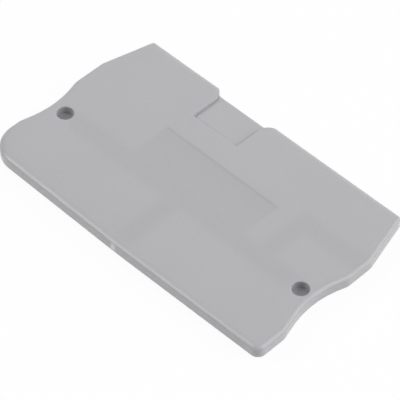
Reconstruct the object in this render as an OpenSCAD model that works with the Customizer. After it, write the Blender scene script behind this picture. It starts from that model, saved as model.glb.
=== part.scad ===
// End cover for a row of spring-clamp terminal blocks: one flat moulding that closes the open side of the last block.
// It lies outer face up: X along the length, Y from the straight edge to the notched edge, Z out of the outer face.

/* [Plate] */
// Overall length, across the heels of the two sides
plate_l = 48.5; // [44:0.5:60]
// Height, from the ends of the straight edge to the notched edge
plate_h = 28.2; // [27.5:0.05:34]
// Thickness of the plate
plate_t = 1.7; // [1.5:0.05:2.4]
// Radius of the round along the edge of the outer face
edge_r = 0.6; // [0.2:0.05:0.6]
// Outward bow of the straight edge at its middle
front_bow = 0.3; // [0.1:0.05:0.6]
// Radius of the corners at the ends of the notched edge
top_r = 0.65; // [0.65:0.05:1.5]

/* [Both sides] */
// Height of the waist
waist_y = 11; // [10.6:0.1:11.4]
// Radius of the hollow at the waist
waist_r = 14; // [8:0.5:15]
// Radius that softens the heel and both ends of the shoulder
soft_r = 2.4; // [1:0.1:3]

/* [Left side] */
// Radius of the straight edge's left corner
left_foot_r = 4.2; // [2:0.1:4.6]
// Height at which the left side starts to lean in above the foot
left_heel_y = 5.8; // [5.5:0.1:6]
// Set-in of the point where the two leaning walls of the left waist would meet
left_waist_in = 1.3; // [0.8:0.05:1.6]
// Height of the lower end of the left shoulder
left_shoulder_y = 15.7; // [15.5:0.1:17]
// Length of the straight left shoulder
left_shoulder_l = 4.9; // [3:0.1:5.5]
// Set-in of the left shoulder from the heel
left_shoulder_in = 0; // [0:0.05:0.4]
// Set-in of the notched edge's left corner from the heel
left_top_in = 2; // [1:0.05:3]

/* [Right side] */
// Radius of the straight edge's right corner
right_foot_r = 1.2; // [0.8:0.1:2.5]
// Height at which the right side starts to lean in above the foot
right_heel_y = 4.6; // [4:0.1:5.5]
// Set-in of the point where the two leaning walls of the right waist would meet
right_waist_in = 1.85; // [1:0.05:2]
// Height of the lower end of the right shoulder
right_shoulder_y = 16.1; // [15.8:0.1:17]
// Length of the straight right shoulder
right_shoulder_l = 4.1; // [3:0.1:5.5]
// Set-in of the right shoulder from the heel
right_shoulder_in = 0.15; // [0:0.05:0.4]
// Set-in of the notched edge's right corner from the heel
right_top_in = 2.3; // [1:0.05:3]

/* [Edge notch] */
// Width of the notch
notch_w = 7.7; // [5:0.1:9]
// Distance of the notch's middle from the middle of the plate, to the left
notch_x = 4.9; // [3.5:0.1:8]
// Length of the notch, in from the notched edge
notch_l = 5.95; // [4:0.05:7]
// Depth of the notch's floor below the outer face
notch_d = 0.45; // [0.2:0.05:0.8]
// Set-in of the floor's free edge from the notched edge
notch_in = 0.85; // [0.4:0.05:1.5]
// Radius of the notch's two outer corners
notch_r = 2.2; // [1:0.1:2.5]

/* [Marking field] */
// Length of the sunk marking field
mark_l = 19.6; // [12:0.1:24]
// Height of the sunk marking field
mark_h = 7.3; // [4:0.1:8]
// Distance of the field's middle from the middle of the plate, to the right
mark_x = 0.15; // [0:0.05:3]
// Height of the field's middle above the straight edge
mark_y = 14.85; // [13:0.05:16]
// Depth of the field below the outer face
mark_d = 0.05; // [0.03:0.01:0.25]

/* [Sockets and pegs] */
// Distance of the left socket from the middle of the plate
socket_left_x = 20.85; // [18:0.05:21.2]
// Distance of the right socket from the middle of the plate
socket_right_x = 21.1; // [18:0.05:21.2]
// Height of the sockets and pegs above the straight edge
socket_y = 10.7; // [9:0.1:12]
// Diameter of a socket
socket_d = 2.3; // [1.6:0.05:2.8]
// Depth of a socket
socket_depth = 1.2; // [0.8:0.05:1.3]
// Radial clearance of a neighbour's peg in a socket
peg_clear = 0.05; // [0.02:0.01:0.2]
// Room left between the end of a neighbour's peg and the floor of its socket
peg_room = 0.1; // [0.05:0.05:0.3]
// Lead-in chamfer at the tip of a peg
peg_lead = 0.2; // [0.1:0.05:0.4]

/* [Ribs] */
// Width of the ribs on the inner face
rib_w = 1; // [0.6:0.1:1.5]
// Height of the ribs, less than that of the pegs
rib_h = 0.4; // [0.25:0.05:0.5]
// Distance kept between the long rib's ends and the pegs
rib_gap = 2; // [1:0.1:4]
// Distance kept between a rib and the edge of the plate
rib_rim = 1.2; // [0.8:0.1:2]
// Distance of the side frame's upright from the middle of the plate
frame_x = 14; // [12:0.1:16]
// Height of the side frame's arm above the straight edge
frame_y = 18.7; // [17:0.1:20]

/* [Hidden] */
$fn = 64;

half_l = plate_l / 2;
peg_r = socket_d / 2 - peg_clear;
peg_l = socket_depth - peg_room;
sockets = [-socket_left_x, socket_right_x];
// Overlap that lets a cut run past a face and a joined piece run into its neighbour
lap = 0.3;
// Facets: arc steps are about this many degrees, and the edge round has this many rings
arc_step = 4;
round_steps = 6;
// How far below the notched edge the notch's corner arcs are centred, as a share of their radius
mouth_drop = 0.94;

// One side from the straight edge to the notched edge, as corner points, each with its radius
function side(foot_r, heel_y, waist_in, shoulder_y, shoulder_l, shoulder_in, top_in) = [
    [half_l, 0, foot_r],
    [half_l, heel_y, soft_r],
    [half_l - waist_in, waist_y, waist_r],
    [half_l - shoulder_in, shoulder_y, soft_r],
    [half_l - shoulder_in, shoulder_y + shoulder_l, soft_r],
    [half_l - top_in, plate_h, top_r],
];
left_side = side(left_foot_r, left_heel_y, left_waist_in, left_shoulder_y, left_shoulder_l, left_shoulder_in,
    left_top_in);
right_side = side(right_foot_r, right_heel_y, right_waist_in, right_shoulder_y, right_shoulder_l, right_shoulder_in,
    right_top_in);
// The straight edge's slight bow is one wide corner in its middle
bow_r = half_l * half_l / (8 * front_bow);
corners = concat(
    [[0, -front_bow, bow_r]],
    right_side,
    [for (i = [len(left_side) - 1 : -1 : 0]) [-left_side[i][0], left_side[i][1], left_side[i][2]]]
);

function wrap(i) = (i + len(corners)) % len(corners);
function place(i) = [corners[wrap(i)][0], corners[wrap(i)][1]];
function run(i) = (place(i + 1) - place(i)) / norm(place(i + 1) - place(i));
function heading(v) = atan2(v[1], v[0]);
// Turn at a corner: positive where the outline is convex, negative in the hollows
function turn(i) = (heading(run(i)) - heading(run(i - 1)) + 540) % 360 - 180;

// One corner's arc for an outline moved in by inset: the centre stays and the radius changes
function corner_arc(i, inset) =
    let (
        bend = turn(i),
        way = sign(bend),
        start = heading(run(i - 1)) - 90,
        middle = start + bend / 2,
        radius = corners[i][2],
        centre = place(i) - way * radius / cos(bend / 2) * [cos(middle), sin(middle)],
        steps = max(2, ceil(abs(bend) / arc_step))
    )
    [for (k = [0 : steps])
        let (angle = start + bend * k / steps)
        centre + (way * radius - inset) * [cos(angle), sin(angle)]];

function outline(inset) = [for (i = [0 : len(corners) - 1]) each corner_arc(i, inset)];
// Lowest point of the bowed edge, which its wide arc leaves a little short of the corner
front_y = min([for (p = outline(0)) p[1]]);

// Plate with a square lower edge and a rounded upper edge: rings of the outline, closed by two fans
module rounded_plate() {
    rings = concat(
        [[0, 0]],
        [for (k = [0 : round_steps])
            let (angle = 90 * k / round_steps)
            [edge_r * (1 - cos(angle)), plate_t - edge_r * (1 - sin(angle))]]
    );
    count = len(outline(0));
    last = len(rings) - 1;
    points = concat(
        [for (ring = rings, p = outline(ring[0])) [p[0], p[1], ring[1]]],
        [[0, plate_h / 2, 0], [0, plate_h / 2, plate_t]]
    );
    low_hub = count * len(rings);
    walls = [for (k = [0 : last - 1], i = [0 : count - 1])
        let (j = (i + 1) % count)
        each [
            [k * count + i, (k + 1) * count + i, (k + 1) * count + j],
            [k * count + i, (k + 1) * count + j, k * count + j]
        ]];
    floor_fan = [for (i = [0 : count - 1]) [low_hub, i, (i + 1) % count]];
    face_fan = [for (i = [0 : count - 1]) [low_hub + 1, last * count + (i + 1) % count, last * count + i]];
    polyhedron(points, concat(walls, floor_fan, face_fan));
}

// Plan of the notch: straight walls that open at the notched edge round two convex corners
module notch_plan(start_y) {
    top = plate_h + lap;
    translate([-notch_x - notch_w / 2, start_y])
        square([notch_w, top - start_y]);
    difference() {
        translate([-notch_x - notch_w / 2 - notch_r, plate_h - mouth_drop * notch_r])
            square([notch_w + 2 * notch_r, mouth_drop * notch_r + lap]);
        for (end = [-1, 1])
            translate([-notch_x + end * (notch_w / 2 + notch_r), plate_h - mouth_drop * notch_r])
                circle(notch_r);
    }
}

module notch_cut() {
    translate([0, 0, plate_t - notch_d])
        linear_extrude(notch_d + lap)
            notch_plan(plate_h - notch_l);
    translate([0, 0, -lap])
        linear_extrude(plate_t + 2 * lap)
            notch_plan(plate_h - notch_in);
}

module marking_cut() {
    translate([mark_x - mark_l / 2, mark_y - mark_h / 2, plate_t - mark_d])
        cube([mark_l, mark_h, mark_d + lap]);
}

module socket_cut(x) {
    translate([x, socket_y, plate_t - socket_depth])
        cylinder(h = socket_depth + lap, d = socket_d);
}

// Peg on the inner face, in line with the socket on the outer face
module peg(x) {
    translate([x, socket_y, peg_lead - peg_l])
        cylinder(h = peg_l - peg_lead + lap, r = peg_r);
    translate([x, socket_y, -peg_l])
        cylinder(h = peg_lead, r1 = peg_r - peg_lead, r2 = peg_r);
}

// Rib on the inner face between two places, given as the ends of its middle line
module rib(from, to) {
    low = [min(from[0], to[0]) - rib_w / 2, min(from[1], to[1]) - rib_w / 2];
    high = [max(from[0], to[0]) + rib_w / 2, max(from[1], to[1]) + rib_w / 2];
    translate([low[0], low[1], -rib_h])
        cube([high[0] - low[0], high[1] - low[1], rib_h + lap]);
}

module ribs() {
    end_room = peg_r + rib_gap + rib_w / 2;
    rib([sockets[0] + end_room, socket_y], [sockets[1] - end_room, socket_y]);
    rib([0, rib_rim + rib_w / 2], [0, socket_y]);
    rib([frame_x, socket_y], [frame_x, frame_y]);
    rib([frame_x, frame_y], [half_l - right_shoulder_in - rib_rim - rib_w / 2, frame_y]);
}

module end_cover() {
    color("#b3b4b7")
        translate([0, -(front_y + plate_h) / 2, peg_l]) {
            difference() {
                rounded_plate();
                notch_cut();
                marking_cut();
                for (x = sockets)
                    socket_cut(x);
            }
            for (x = sockets)
                peg(x);
            ribs();
        }
}

end_cover();
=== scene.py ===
import math

import bpy
import numpy as np
from mathutils import Matrix, Vector
from mathutils.geometry import delaunay_2d_cdt


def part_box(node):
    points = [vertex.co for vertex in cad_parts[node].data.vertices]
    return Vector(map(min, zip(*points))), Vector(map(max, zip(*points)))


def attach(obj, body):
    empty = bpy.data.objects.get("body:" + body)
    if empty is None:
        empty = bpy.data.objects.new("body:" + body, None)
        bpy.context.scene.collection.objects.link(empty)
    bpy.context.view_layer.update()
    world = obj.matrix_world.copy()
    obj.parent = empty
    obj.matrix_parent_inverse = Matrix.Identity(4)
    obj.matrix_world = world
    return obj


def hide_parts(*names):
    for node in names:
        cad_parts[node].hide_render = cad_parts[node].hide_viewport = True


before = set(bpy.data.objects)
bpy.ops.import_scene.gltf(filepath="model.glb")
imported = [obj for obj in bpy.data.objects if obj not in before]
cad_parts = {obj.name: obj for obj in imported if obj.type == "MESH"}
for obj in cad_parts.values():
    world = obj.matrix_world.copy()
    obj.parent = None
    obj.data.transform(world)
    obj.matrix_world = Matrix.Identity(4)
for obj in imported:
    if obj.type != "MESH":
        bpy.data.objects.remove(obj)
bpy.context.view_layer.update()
coverLow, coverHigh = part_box("end_cover")
mm = 0.001

# The cover is worked out in millimetres: x from the middle of the plate, y from the ends of the straight
# edge, z from the inner face. It is then carried into the frame as one mesh.
points = []
faces = []
meshing = {
    "arcStep": 6,  # degrees, the widest turn between two points of an arc
    "roundSteps": 4,  # rows of faces in the rounds of the sockets, pegs and ribs
    "outerGrid": 0.5,  # grid of points in the outer face, which lets it carry its slight hollows
    "innerGrid": 0.8,
    "rimClear": 0.55,  # share of a grid step that is kept free along a rim
    "mergeWithin": 1e-7,
    "sharpAngle": 40,  # degrees, edges that turn more than this stay crisp
}


def toShare(value):
    return max(0.0, min(1.0, value))


def quarterRound(radius, steps):
    # Goes round a quarter circle and gives, for each step, the way gone from its start along one axis
    # and the way left to its end along the other
    angles = [math.pi / 2 * k / steps for k in range(steps + 1)]
    return [(radius * (1 - math.cos(angle)), radius * (1 - math.sin(angle))) for angle in angles]


def addPoints(coords):
    first = len(points)
    points.extend(coords)
    return list(range(first, len(points)))


def loft(rings):
    # Faces from each closed ring to the next, facing outwards for rings that run counter-clockwise and rise
    for lower, upper in zip(rings, rings[1:]):
        count = len(lower)
        for i in range(count):
            j = (i + 1) % count
            corners = dict.fromkeys((lower[i], lower[j], upper[j], upper[i]))  # a shared point counts once
            if len(corners) > 2:
                faces.append(list(corners))


def traceLoop(corners, spacing):
    # Goes counter-clockwise round corner points (x, y, radius) and gives each place with its outward
    # direction. A fourth value at a corner is the spacing of the points along its arc.
    arcs = []
    count = len(corners)
    for i in range(count):
        before, here, after = (Vector(corners[k % count][:2]) for k in (i - 1, i, i + 1))
        arriving = math.atan2(here.y - before.y, here.x - before.x)
        leaving = math.atan2(after.y - here.y, after.x - here.x)
        bend = (leaving - arriving + 3 * math.pi) % (2 * math.pi) - math.pi
        start = arriving - math.pi / 2
        reach = math.copysign(corners[i][2], bend)  # negative in the hollows
        middle = start + bend / 2
        centre = here - Vector((math.cos(middle), math.sin(middle))) * reach / math.cos(bend / 2)
        arcSpacing = corners[i][3] if len(corners[i]) > 3 else spacing
        arcs.append((centre, reach, start, bend, arcSpacing))
    loop = []
    for i in range(count):
        centre, reach, start, bend, arcSpacing = arcs[i]
        byTurn = math.ceil(abs(bend) / math.radians(meshing["arcStep"]))
        byLength = math.ceil(abs(bend * reach) / arcSpacing)
        steps = max(2, byTurn, byLength)
        for k in range(steps + 1):
            angle = start + bend * k / steps
            outward = Vector((math.cos(angle), math.sin(angle)))
            loop.append((centre + outward * reach, outward))
        nextCentre, nextReach, nextStart = arcs[(i + 1) % count][:3]
        nextPlace = nextCentre + Vector((math.cos(nextStart), math.sin(nextStart))) * nextReach
        place, outward = loop[-1]
        runs = math.ceil((nextPlace - place).length / spacing)
        loop.extend((place.lerp(nextPlace, k / runs), outward) for k in range(1, runs))
    return loop


def flatRing(loop, inset, height):
    return addPoints([(*(place - outward * inset), height) for place, outward in loop])


def revolve(middle, profile, segments):
    # Rings round an upright axis from (radius, height) pairs
    angles = [2 * math.pi * k / segments for k in range(segments)]
    return [
        addPoints([
            (middle[0] + radius * math.cos(angle), middle[1] + radius * math.sin(angle), height)
            for angle in angles
        ])
        for radius, height in profile
    ]


def insideLoops(spots, loops):
    # Even-odd test of plan points against the loops' sides
    inside = np.zeros(len(spots), bool)
    for loop in loops:
        ends = np.roll(loop, -1, axis=0)
        for (ax, ay), (bx, by) in zip(loop, ends):
            crosses = (ay > spots[:, 1]) != (by > spots[:, 1])
            if ay != by:
                inside ^= crosses & (spots[:, 0] < ax + (spots[:, 1] - ay) * (bx - ax) / (by - ay))
    return inside


def fillFace(loops, gridStep=None, upward=True):
    # Fills a flat face between its rim and the rims of its holes, with a grid of inner points if asked
    outlines = [np.array([points[i][:2] for i in loop]) for loop in loops]
    border = np.concatenate(outlines)
    indices = [i for loop in loops for i in loop]
    height = points[indices[0]][2]
    if gridStep:
        low, high = border.min(axis=0), border.max(axis=0)
        columns = np.arange(low[0] + gridStep / 2, high[0], gridStep)
        rows = np.arange(low[1] + gridStep / 2, high[1], gridStep)
        spots = np.array([(x, y) for y in rows for x in columns])
        spots = spots[insideLoops(spots, outlines)]
        nearest = np.min(np.hypot(*(spots[:, None, :] - border[None, :, :]).transpose(2, 0, 1)), axis=1)
        spots = spots[nearest > meshing["rimClear"] * gridStep]
        indices += addPoints([(x, y, height) for x, y in spots.tolist()])
    edges = []
    first = 0
    for loop in loops:
        edges += [(first + i, first + (i + 1) % len(loop)) for i in range(len(loop))]
        first += len(loop)
    flat = [Vector(points[i][:2]) for i in indices]
    made = delaunay_2d_cdt(flat, edges, [], 0, meshing["mergeWithin"])
    madeFaces, sources = made[2], made[3]
    triangles = np.array([[sources[corner][0] for corner in face] for face in madeFaces])
    centres = np.array(flat)[triangles].mean(axis=1)
    for triangle in triangles[insideLoops(centres, outlines)].tolist():
        face = [indices[i] for i in triangle]
        faces.append(face if upward else face[::-1])


# Flat plate with waisted sides
plate = {
    "length": 48.5,
    "height": 28.2,
    "thickness": 1.7,
    "edgeRound": (0.75, 0.55),  # round along the outer face: how far in it reaches, and how far down
    "cornerRound": 0.55,  # reach left at the sharp corners
    "cornerBlend": 3.0,  # distance from a sharp corner at which the round has its full reach
    "lowerRound": 0.08,  # small round along the inner face
    "bow": 0.3,  # the straight edge swells a little towards its middle
    "bowSpacing": 0.1,  # points lie closer there, for the inlet trace
    "topRadius": 0.65,
    "waistY": 11.0,
    "waistRadius": 14.0,
    "softRadius": 2.4,
    # each side: foot radius, heel height, waist set-in, shoulder height, length and set-in, top set-in
    "leftSide": (4.2, 5.8, 1.3, 15.7, 4.9, 0.0, 2.0),
    "rightSide": (1.2, 4.6, 1.85, 16.1, 4.1, 0.15, 2.3),
    "spacing": 0.5,  # distance between mesh points along the outline
    "wallRows": 9,  # rows of faces up the wall, in the outer round and in the small round
    "roundRows": 8,
    "lowerRows": 3,
}
# Shallow notch in the edge opposite the straight one
notch = {
    "width": 7.82,
    "middleX": -4.96,
    "length": 6.05,
    "depth": 0.45,
    "setIn": 0.85,  # the floor's free edge stands back from the plate's edge
    "mouthOut": 1.2,  # how far each wall leans out at the edge
    "mouthIn": 0.9,  # depth at which the walls would start to lean
    "mouthRadius": 2.5,
    "innerRadius": 0.22,
    "edgeRound": 0.09,
    "wallRound": 0.12,  # softer edge along the left wall
    "easePower": 3,  # keeps the wider rounds close to the left wall and to the mouth
}
# Blind sockets in the outer face, each with a small round at its mouth and its foot
socket = {
    "places": ((-20.85, 10.7), (21.1, 10.7)),
    "radius": 1.15,
    "depth": 1.2,
    "mouthRound": 0.07,
    "footRound": 0.04,
    "floorRing": 0.5,  # share of the radius at which the floor has a ring of its own
    "rim": 0.06,  # flat left between a socket and the plate's round
    "shadeFullFrom": 0.25,  # depth below the mouth's round at which the painted shade on the wall is full
    "segments": 64,
}
top = plate["thickness"]
floorZ = top - notch["depth"]
small = plate["lowerRound"]


def sideCorners(footRadius, heelY, waistIn, shoulderY, shoulderLength, shoulderIn, topIn):
    half = plate["length"] / 2
    return [
        (half, 0, footRadius),
        (half, heelY, plate["softRadius"]),
        (half - waistIn, plate["waistY"], plate["waistRadius"]),
        (half - shoulderIn, shoulderY, plate["softRadius"]),
        (half - shoulderIn, shoulderY + shoulderLength, plate["softRadius"]),
        (half - topIn, plate["height"], plate["topRadius"]),
    ]


# Outline of the outer face: the straight edge, the right side, the notch and the left side
rightSide = sideCorners(*plate["rightSide"])
leftSide = [(-x, y, radius) for x, y, radius in reversed(sideCorners(*plate["leftSide"]))]
bowRadius = (plate["length"] / 2) ** 2 / (8 * plate["bow"])
notchLeft = notch["middleX"] - notch["width"] / 2
notchRight = notch["middleX"] + notch["width"] / 2
notchBack = plate["height"] - notch["length"]
freeEdgeY = plate["height"] - notch["setIn"]
leanY = plate["height"] - notch["mouthIn"]
mouthRadius = notch["mouthRadius"]
mouthLean = math.atan2(notch["mouthOut"], notch["mouthIn"])
mouthStart = leanY - mouthRadius * math.tan(mouthLean / 2)
mouthRight = (notchRight + notch["mouthOut"], plate["height"], plate["topRadius"])
mouthLeft = (notchLeft - notch["mouthOut"], plate["height"], plate["topRadius"])
upperLoop = traceLoop(
    [
        (0, -plate["bow"], bowRadius, plate["bowSpacing"]),
        *rightSide,
        mouthRight,
        (notchRight, leanY, mouthRadius),
        (notchRight, notchBack, notch["innerRadius"]),
        (notchLeft, notchBack, notch["innerRadius"]),
        (notchLeft, leanY, mouthRadius),
        mouthLeft,
        *leftSide,
    ],
    plate["spacing"],
)

# The two places where the floor's free edge meets the mouth's arcs become points of the outline
freeEdgeOut = mouthRadius - math.sqrt(mouthRadius**2 - (freeEdgeY - mouthStart) ** 2)
mouthEnds = []
for wallX, way in ((notchRight, 1), (notchLeft, -1)):
    centre = Vector((wallX + way * mouthRadius, mouthStart))
    target = Vector((wallX + way * freeEdgeOut, freeEdgeY))
    index = min(range(len(upperLoop)), key=lambda i: (upperLoop[i][0] - target).length)
    upperLoop[index] = (target, (target - centre).normalized())
    mouthEnds.append(index)
pocketStart, pocketEnd = mouthEnds
count = len(upperLoop)
outside = [i % count for i in range(pocketEnd, count + pocketStart + 1)]
freeRuns = math.ceil(notch["width"] / plate["spacing"])
freeEdge = [
    (upperLoop[pocketStart][0].lerp(upperLoop[pocketEnd][0], k / freeRuns), Vector((0, 1)))
    for k in range(1, freeRuns)
]
lowerLoop = [upperLoop[i] for i in outside] + freeEdge
for index in (0, len(outside) - 1):
    place, outward = lowerLoop[index]
    lowerLoop[index] = (place, (outward + Vector((0, 1))) / (1 + outward.y))


def roundAt(place):
    # Reach and drop of the round along the outer face: it narrows beside a socket and at a sharp corner
    reach, drop = plate["edgeRound"]
    for x, y in socket["places"]:
        clear = math.hypot(place.x - x, place.y - y) - socket["radius"] - socket["mouthRound"]
        reach = min(reach, clear - socket["rim"])
    for corner in (rightSide[-1], leftSide[0], mouthRight, mouthLeft):
        away = toShare(math.hypot(place.x - corner[0], place.y - corner[1]) / plate["cornerBlend"])
        reach = min(reach, plate["cornerRound"] + (reach - plate["cornerRound"]) * away)
    if place.y < plate["height"] / 2 or not mouthLeft[0] < place.x < mouthRight[0]:
        return reach, drop
    # In the notch it is small, and it widens again round the corners of the mouth
    leftShare = toShare((notch["middleX"] - place.x) / notch["width"] * 2) ** notch["easePower"]
    least = notch["edgeRound"] + (notch["wallRound"] - notch["edgeRound"]) * leftShare
    share = toShare((place.y - mouthStart) / (plate["height"] - mouthStart)) ** notch["easePower"]
    return least + (reach - least) * share, least + (drop - least) * share


def roundInset(place, height):
    reach, drop = roundAt(place)
    rise = max(0.0, height - top + drop) / drop
    return reach * (1 - math.sqrt(1 - rise**2))


# Wall below the notch's floor, from the small round at the inner face up to the free edge
lowerRound = quarterRound(small, plate["lowerRows"])
lowerRings = [flatRing(lowerLoop, left, turned) for turned, left in lowerRound]
wallTop = min(floorZ - small, top - plate["edgeRound"][1])
for k in range(1, plate["wallRows"] + 1):
    lowerRings.append(flatRing(lowerLoop, 0, small + (wallTop - small) * k / plate["wallRows"]))
for turned, left in lowerRound[1:]:
    height = floorZ - left
    insets = [roundInset(place, height) for place, _ in lowerLoop[:len(outside)]] + [turned] * len(freeEdge)
    lowerRings.append(addPoints([
        (*(place - outward * inset), height) for (place, outward), inset in zip(lowerLoop, insets)
    ]))
loft(lowerRings)
innerRim = lowerRings[0]

# Wall above it, which follows the notch
upperBase = [None] * count
for i, index in zip(outside, lowerRings[-1]):
    upperBase[i] = index
for i in range(pocketStart + 1, pocketEnd):
    upperBase[i] = addPoints([(*upperLoop[i][0], floorZ)])[0]
upperRings = [upperBase]
for k in range(1, plate["roundRows"] + 1):
    ring = []
    for place, outward in upperLoop:
        reach, drop = roundAt(place)
        start = math.asin(max(0.0, 1 - notch["depth"] / drop))
        angle = start + (math.pi / 2 - start) * k / plate["roundRows"]
        ring.append((*(place - outward * reach * (1 - math.cos(angle))), top - drop * (1 - math.sin(angle))))
    upperRings.append(addPoints(ring))
loft(upperRings)
outerRim = upperRings[-1]
notchFloor = upperBase[pocketStart:pocketEnd + 1] + lowerRings[-1][:len(outside) - 1:-1]
fillFace([notchFloor[::-1]], meshing["outerGrid"])
print("plate walls and notch:", len(points), "points")

# Sunk marking field with a soft step all round
markingField = {
    "length": 19.6,
    "height": 7.1,
    "middle": (0.15, 14.75),
    "depth": 0.05,
    "cornerRadius": 0.35,
    "stepWidth": 0.4,
    "stepRows": 6,
    "lowerShare": 0.3,  # share of the depth left at the lower edge
    "spacing": 0.4,
}
middleX, middleY = markingField["middle"]
halfL, halfH = markingField["length"] / 2, markingField["height"] / 2
fieldLoop = traceLoop(
    [
        (middleX + sx * halfL, middleY + sy * halfH, markingField["cornerRadius"])
        for sx, sy in ((-1, -1), (1, -1), (1, 1), (-1, 1))
    ],
    markingField["spacing"],
)
fieldRings = []
for k in range(markingField["stepRows"] + 1):
    share = k / markingField["stepRows"]
    sunk = share * share * (3 - 2 * share)  # level at both ends of the step
    inset = markingField["stepWidth"] * (share - 0.5)
    fieldRings.append(flatRing(fieldLoop, inset, top - markingField["depth"] * sunk))
loft(fieldRings)
fillFace([fieldRings[-1]], meshing["outerGrid"])

# The sockets, and the outer face round them
socketProfile = [
    (socket["radius"] + left, top - turned)
    for turned, left in quarterRound(socket["mouthRound"], meshing["roundSteps"])
]
socketProfile += [
    (socket["radius"] - turned, top - socket["depth"] + left)
    for turned, left in quarterRound(socket["footRound"], meshing["roundSteps"])
]
socketProfile.append((socket["radius"] * socket["floorRing"], top - socket["depth"]))
socketRims = []
for place in socket["places"]:
    rings = revolve(place, socketProfile, socket["segments"])
    loft(rings)
    fillFace([rings[-1]])
    socketRims.append(rings[0])
fillFace([outerRim, fieldRings[0], *socketRims], meshing["outerGrid"])
print("outer face:", len(points), "points")

# Pegs on the inner face, in line with the sockets
peg = {
    "radius": 1.1,
    "length": 1.1,
    "leadIn": 0.2,
    "rootRound": 0.12,
    "neckSoft": (0.04, 0.02),  # how far the lead-in's upper edge is softened, above and below it
    "tipSoft": 0.03,
    "segments": 48,
}
neckZ = peg["leadIn"] - peg["length"]
tipRadius = peg["radius"] - peg["leadIn"]
neckAbove, neckBelow = peg["neckSoft"]
pegProfile = [
    (peg["radius"] + left, -turned)
    for turned, left in quarterRound(peg["rootRound"], meshing["roundSteps"])
]
pegProfile += [
    (peg["radius"], neckZ + neckAbove),
    (peg["radius"] - neckBelow, neckZ - neckBelow),
    (tipRadius + peg["tipSoft"], peg["tipSoft"] - peg["length"]),
    (tipRadius - peg["tipSoft"], -peg["length"]),
]
pegRoots = []
for place in socket["places"]:
    rings = revolve(place, pegProfile, peg["segments"])
    loft(rings[::-1])
    fillFace([rings[-1]], upward=False)
    pegRoots.append(rings[0])

# Low ribs that stiffen the inner face, one joined pattern
rib = {
    "width": 1.0,
    "height": 0.4,
    "longY": 10.7,
    "longEnds": (-17.75, 18.0),
    "shortFoot": 1.2,
    "frameX": 14.0,
    "frameY": 18.7,
    "frameEnd": 22.9,
    "outerRadius": 0.15,  # corners that stand out from the pattern
    "innerRadius": 0.25,  # corners where two ribs meet
    "rootRound": 0.12,
    "topRound": 0.1,
    "topRows": 3,
    "spacing": 0.8,
}
halfW = rib["width"] / 2
longLow, longHigh = rib["longY"] - halfW, rib["longY"] + halfW
frameIn, frameOut = rib["frameX"] - halfW, rib["frameX"] + halfW
armLow, armHigh = rib["frameY"] - halfW, rib["frameY"] + halfW
outer, inner = rib["outerRadius"], rib["innerRadius"]
ribLoop = traceLoop(
    [
        (rib["longEnds"][0], longLow, outer),
        (-halfW, longLow, inner),
        (-halfW, rib["shortFoot"], outer),
        (halfW, rib["shortFoot"], outer),
        (halfW, longLow, inner),
        (rib["longEnds"][1], longLow, outer),
        (rib["longEnds"][1], longHigh, outer),
        (frameOut, longHigh, inner),
        (frameOut, armLow, inner),
        (rib["frameEnd"], armLow, outer),
        (rib["frameEnd"], armHigh, outer),
        (frameIn, armHigh, outer),
        (frameIn, longHigh, inner),
        (rib["longEnds"][0], longHigh, outer),
    ],
    rib["spacing"],
)
ribRings = [
    flatRing(ribLoop, -left, -turned)
    for turned, left in quarterRound(rib["rootRound"], meshing["roundSteps"])
]
ribRings += [
    flatRing(ribLoop, turned, left - rib["height"])
    for turned, left in quarterRound(rib["topRound"], rib["topRows"])
]
loft(ribRings[::-1])
fillFace([ribRings[-1]], upward=False)
fillFace([innerRim, ribRings[0], *pegRoots], meshing["innerGrid"], upward=False)
print("inner face:", len(points), "points")

# Slight hollows in the outer face over the ribs, where the thicker wall shrank as it cooled
sink = {
    "depth": 0.015,
    "reach": 1.5,
    "fallPower": 3,  # steepness of the hollows' sides
    "skin": 0.35,  # only points this close to the outer face sink
    "runs": (
        ((-18.5, 10.7), (18.5, 10.7)),
        ((0.0, 1.8), (0.0, 10.7)),
        ((14.0, 10.7), (14.0, 18.7)),
        ((14.0, 18.7), (23.2, 18.7)),
    ),
}
# Trace of the mould's inlet in the middle of the straight edge: a small torn spot, slightly proud
gate = {
    "x": -0.5,
    "z": 0.8,
    "halfWidth": 0.45,
    "halfHeight": 0.6,
    "proud": 0.06,
    "sidePower": 4,  # steepness of the spot's sides
    "tear": 0.25,  # share of the height that the torn surface varies by
    "tearWaves": ((17, 5, 0), (-9, 11, 1)),  # crossing waves: radians per mm along x and z, and the start
    "wallDepth": 0.2,  # only points this close to the straight edge take part
}


def sunkAt(place):
    share = 0.0
    for start, end in sink["runs"]:
        start, end = Vector(start), Vector(end)
        along = (place - start).dot(end - start) / (end - start).length_squared
        foot = start.lerp(end, toShare(along))
        share = max(share, math.exp(-(((place - foot).length / sink["reach"]) ** sink["fallPower"])))
    return share


def gateAt(x, z):
    across, up = abs(x - gate["x"]) / gate["halfWidth"], abs(z - gate["z"]) / gate["halfHeight"]
    spot = toShare(1 - across ** gate["sidePower"]) * toShare(1 - up ** gate["sidePower"])
    waves = math.prod(math.sin(byX * x + byZ * z + start) for byX, byZ, start in gate["tearWaves"])
    return spot * (1 - gate["tear"] + gate["tear"] * waves)


def fieldLean(y):
    # The field is deepest along its upper edge and fades towards its lower edge
    share = toShare((y - middleY + halfH) / (2 * halfH))
    return markingField["lowerShare"] + (1 - markingField["lowerShare"]) * share


def fieldAt(x, y):
    inside = min(halfL - abs(x - middleX), halfH - abs(y - middleY)) / markingField["stepWidth"] + 0.5
    return toShare(inside) * fieldLean(y)


def socketShadeAt(x, y, z):
    # Painted shade in a socket's wall: full from a little below its mouth
    away = min(math.hypot(x - holeX, y - holeY) for holeX, holeY in socket["places"])
    if away > socket["radius"] + socket["mouthRound"] or z <= 0:
        return 0.0
    return toShare((top - socket["mouthRound"] - z) / socket["shadeFullFrom"])
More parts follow.
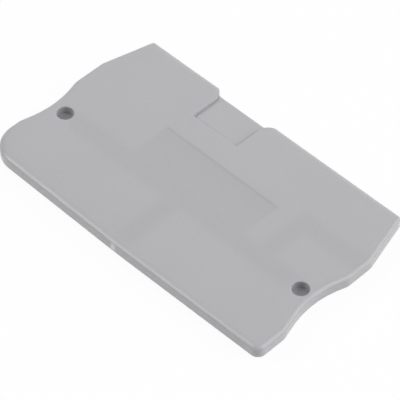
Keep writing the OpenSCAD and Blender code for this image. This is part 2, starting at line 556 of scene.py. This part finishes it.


# How much of a hollow, the field, a socket or the inlet trace each point takes: it moves by that here, and
# the material is tinted by it. A socket's share only tints, as painted shade down its wall, and the inlet
# trace's tint is a painted highlight.
masks = {name: [0.0] * len(points) for name in ("sunk", "field", "socket", "gate")}
for i, (x, y, z) in enumerate(points):
    masks["socket"][i] = socketShadeAt(x, y, z)
    if z > top - sink["skin"]:
        masks["sunk"][i] = sunkAt(Vector((x, y)))
        masks["field"][i] = fieldAt(x, y)
        if masks["field"][i]:
            z = top - (top - z) * fieldLean(y)
        z -= sink["depth"] * masks["sunk"][i]
    if y < gate["wallDepth"] and z > 0:
        masks["gate"][i] = gateAt(x, z)
        y -= gate["proud"] * masks["gate"][i]
    points[i] = (x, y, z)

# The finished points go to the cover's place in the frame, which the CAD box gives
shift = Vector((0, coverHigh[1] / mm - plate["height"], coverHigh[2] / mm - plate["thickness"]))
mesh = bpy.data.meshes.new("endCover")
mesh.from_pydata([(Vector(p) + shift) * mm for p in points], [], faces)
mesh.validate()
for name, shares in masks.items():
    mesh.attributes.new(name, "FLOAT", "POINT").data.foreach_set("value", shares)
mesh.shade_smooth()
mesh.set_sharp_from_angle(angle=math.radians(meshing["sharpAngle"]))
cover = bpy.data.objects.new("endCover", mesh)
bpy.context.scene.collection.objects.link(cover)
evenNormals = cover.modifiers.new("evenNormals", "WEIGHTED_NORMAL")
evenNormals.keep_sharp = True
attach(cover, "root")
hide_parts("end_cover")
print("end cover:", len(mesh.polygons), "faces")


def hexColour(text):
    channels = [int(text[i:i + 2], 16) / 255 for i in (1, 3, 5)]
    linear = [c / 12.92 if c <= 0.04045 else ((c + 0.055) / 1.055) ** 2.4 for c in channels]
    return (*linear, 1.0)


def addNode(tree, kind, settings, inputs):
    node = tree.nodes.new(kind)
    for name, value in settings.items():
        setattr(node, name, value)
    for name, value in inputs.items():
        if isinstance(value, bpy.types.NodeSocket):
            tree.links.new(value, node.inputs[name])
        else:
            node.inputs[name].default_value = value
    return node


# Moulded polyamide from a spark-eroded tool: a pale cool grey that looks dry and even, with a very fine
# grain that breaks the gloss, a shade darker over the shrunk hollows and in the marking field, with painted
# shade down the sockets, where the deep holes fall dark, and a painted highlight over the inlet's torn spot,
# which is drawn much lighter
polyamide = {
    "flowLight": "#b5b4b8",
    "flowDark": "#b1b0b3",
    "sunkTint": "#afaeb1",
    "fieldTint": "#adacaf",
    # painted shade down the sockets, where the deep holes fall dark
    "socketTint": "#a2a1a5",
    # painted highlight: the inlet's torn spot is drawn much lighter than the grey, as if it caught the light
    "gateTint": "#dedfe2",
    "roughness": (0.27, 0.33),
    "ior": 1.53,
    "grainSize": 0.22,  # mm; the real grain is about 0.06 mm, drawn coarser so that it shows
    "grainHeight": 0.0009,  # mm
    "grainRange": (0.3, 0.7),  # values that the grain's noise mostly takes
    "flowSize": 9.0,  # mm, clouding from the flow of the melt
}
mixFrom, mixTo, mixResult = 6, 7, 2  # colour sockets of a Mix node
polyamideMaterial = bpy.data.materials.new("spark-eroded moulded polyamide")
polyamideMaterial.use_nodes = True
tree = polyamideMaterial.node_tree
tree.nodes.clear()
position = addNode(tree, "ShaderNodeTexCoord", {}, {}).outputs["Object"]
flow = addNode(tree, "ShaderNodeTexNoise", {}, {
    "Vector": position,
    "Scale": 1 / (polyamide["flowSize"] * mm),
    "Detail": 3.0,
    "Roughness": 0.5,
})
colour = addNode(tree, "ShaderNodeMix", {"data_type": "RGBA"}, {
    "Factor": flow.outputs["Fac"],
    mixFrom: hexColour(polyamide["flowDark"]),
    mixTo: hexColour(polyamide["flowLight"]),
})
for name in masks:
    mask = addNode(tree, "ShaderNodeAttribute", {"attribute_name": name}, {})
    colour = addNode(tree, "ShaderNodeMix", {"data_type": "RGBA"}, {
        "Factor": mask.outputs["Fac"],
        mixFrom: colour.outputs[mixResult],
        mixTo: hexColour(polyamide[name + "Tint"]),
    })
grain = addNode(tree, "ShaderNodeTexNoise", {}, {
    "Vector": position,
    "Scale": 1 / (polyamide["grainSize"] * mm),
    "Detail": 2.0,
    "Roughness": 0.6,
})
gloss = addNode(tree, "ShaderNodeMapRange", {}, {
    "Value": grain.outputs["Fac"],
    "From Min": polyamide["grainRange"][0],
    "From Max": polyamide["grainRange"][1],
    "To Min": polyamide["roughness"][0],
    "To Max": polyamide["roughness"][1],
})
relief = addNode(tree, "ShaderNodeBump", {}, {
    "Height": grain.outputs["Fac"],
    "Strength": 1.0,
    "Distance": polyamide["grainHeight"] * mm,
})
surface = addNode(tree, "ShaderNodeBsdfPrincipled", {}, {
    "Base Color": colour.outputs[mixResult],
    "Roughness": gloss.outputs["Result"],
    "IOR": polyamide["ior"],
    "Normal": relief.outputs["Normal"],
})
addNode(tree, "ShaderNodeOutputMaterial", {}, {"Surface": surface.outputs["BSDF"]})
mesh.materials.append(polyamideMaterial)
print("material:", polyamideMaterial.name)

pureWhite = (1.0, 1.0, 1.0, 1.0)


def whiteRays(tree):
    # Rays that see the white background: those from the camera, in gloss and through clear pieces
    ray = addNode(tree, "ShaderNodeLightPath", {}, {})
    share = ray.outputs["Is Camera Ray"]
    for name in ("Is Glossy Ray", "Is Transmission Ray"):
        more = addNode(tree, "ShaderNodeMath", {"operation": "MAXIMUM"}, {0: share, 1: ray.outputs[name]})
        share = more.outputs[0]
    return share


# White matt paper floor: it lights the walls from below, and shows white with a faint shadow
floor = {
    "size": 3000.0,  # mm
    "colour": "#fafafa",
    "shadowShare": 0.05,  # share of lit paper in what is seen, which keeps the shadow
}
bpy.ops.mesh.primitive_plane_add(size=floor["size"] * mm, location=(0, 0, coverLow[2]))
paper = bpy.context.object
paper.name = "paperFloor"
paperMaterial = bpy.data.materials.new("white matt paper")
paperMaterial.use_nodes = True
tree = paperMaterial.node_tree
tree.nodes.clear()
fibre = addNode(tree, "ShaderNodeBsdfDiffuse", {}, {"Color": hexColour(floor["colour"])})
white = addNode(tree, "ShaderNodeEmission", {}, {"Color": pureWhite, "Strength": 1.0})
seen = addNode(tree, "ShaderNodeMixShader", {}, {
    "Fac": floor["shadowShare"],
    1: white.outputs["Emission"],
    2: fibre.outputs["BSDF"],
})
paperSurface = addNode(tree, "ShaderNodeMixShader", {}, {
    "Fac": whiteRays(tree),
    1: fibre.outputs["BSDF"],
    2: seen.outputs["Shader"],
})
addNode(tree, "ShaderNodeOutputMaterial", {}, {"Surface": paperSurface.outputs["Shader"]})
paper.data.materials.append(paperMaterial)

# Soft studio light: a weak even surround, and large lamps that all face the cover
studio = {
    "surround": 0.06,
    "backdrop": 1.0,
    # place and size in mm; the level is the share of full light that a lamp gives a surface that faces it
    "lamps": {
        "rightLamp": {"place": (445, 257, 309), "size": 640, "level": 0.56},  # main light
        "highRightLamp": {"place": (344, 79, 485), "size": 460, "level": 0.26},  # line on the right round
        "lowRightLamp": {"place": (341, 453, 195), "size": 400, "level": 0.115},  # right walls
        "leftLamp": {"place": (-318, -366, 353), "size": 420, "level": 0.445},  # line on the front round
        "highLeftLamp": {"place": (-293, -124, 509), "size": 360, "level": 0.12},  # softens that line
        "backLamp": {"place": (-299, 443, 272), "size": 560, "level": 0.18},  # line on the far edges
    },
}
world = bpy.data.worlds.new("studioSurround")
bpy.context.scene.world = world
world.use_nodes = True
tree = world.node_tree
tree.nodes.clear()
surround = addNode(tree, "ShaderNodeBackground", {}, {"Color": pureWhite, "Strength": studio["surround"]})
backdrop = addNode(tree, "ShaderNodeBackground", {}, {"Color": pureWhite, "Strength": studio["backdrop"]})
around = addNode(tree, "ShaderNodeMixShader", {}, {
    "Fac": whiteRays(tree),
    1: surround.outputs["Background"],
    2: backdrop.outputs["Background"],
})
addNode(tree, "ShaderNodeOutputWorld", {}, {"Surface": around.outputs["Shader"]})
for name, lamp in studio["lamps"].items():
    data = bpy.data.lights.new(name, "AREA")
    data.shape = "DISK"
    data.size = lamp["size"] * mm
    place = Vector(lamp["place"]) * mm
    data.energy = lamp["level"] * math.pi**2 * place.length_squared
    holder = bpy.data.objects.new(name, data)
    holder.matrix_world = Matrix.Translation(place) @ place.to_track_quat("Z", "Y").to_matrix().to_4x4()
    bpy.context.scene.collection.objects.link(holder)
print("studio:", len(studio["lamps"]), "lamps")

# Camera at the photograph's view; its place is in the plate's own millimetres
camera = {
    "place": (153.447, -140.636, 242.085),
    "azimuth": 44.6845,
    "elevation": 48.1743,
    "roll": 0.192,
    "focalPixels": 2567.0,
    "imagePixels": 400,
    "sensor": 36.0,
}
azimuth, elevation, roll = (math.radians(camera[name]) for name in ("azimuth", "elevation", "roll"))
backward = Vector((
    math.sin(azimuth) * math.cos(elevation),
    -math.cos(azimuth) * math.cos(elevation),
    math.sin(elevation),
))
levelRight = Vector((math.cos(azimuth), math.sin(azimuth), 0))
levelUp = backward.cross(levelRight)
right = levelRight * math.cos(roll) + levelUp * math.sin(roll)
up = levelUp * math.cos(roll) - levelRight * math.sin(roll)
cameraData = bpy.data.cameras.new("photoCamera")
cameraData.sensor_width = camera["sensor"]
cameraData.lens = camera["focalPixels"] * camera["sensor"] / camera["imagePixels"]
photoCamera = bpy.data.objects.new("photoCamera", cameraData)
turned = Matrix((right, up, backward)).transposed().to_4x4()
photoCamera.matrix_world = Matrix.Translation((Vector(camera["place"]) + shift) * mm) @ turned
bpy.context.scene.collection.objects.link(photoCamera)
bpy.context.scene.camera = photoCamera
bpy.context.scene.view_settings.view_transform = "Standard"
print("camera set")
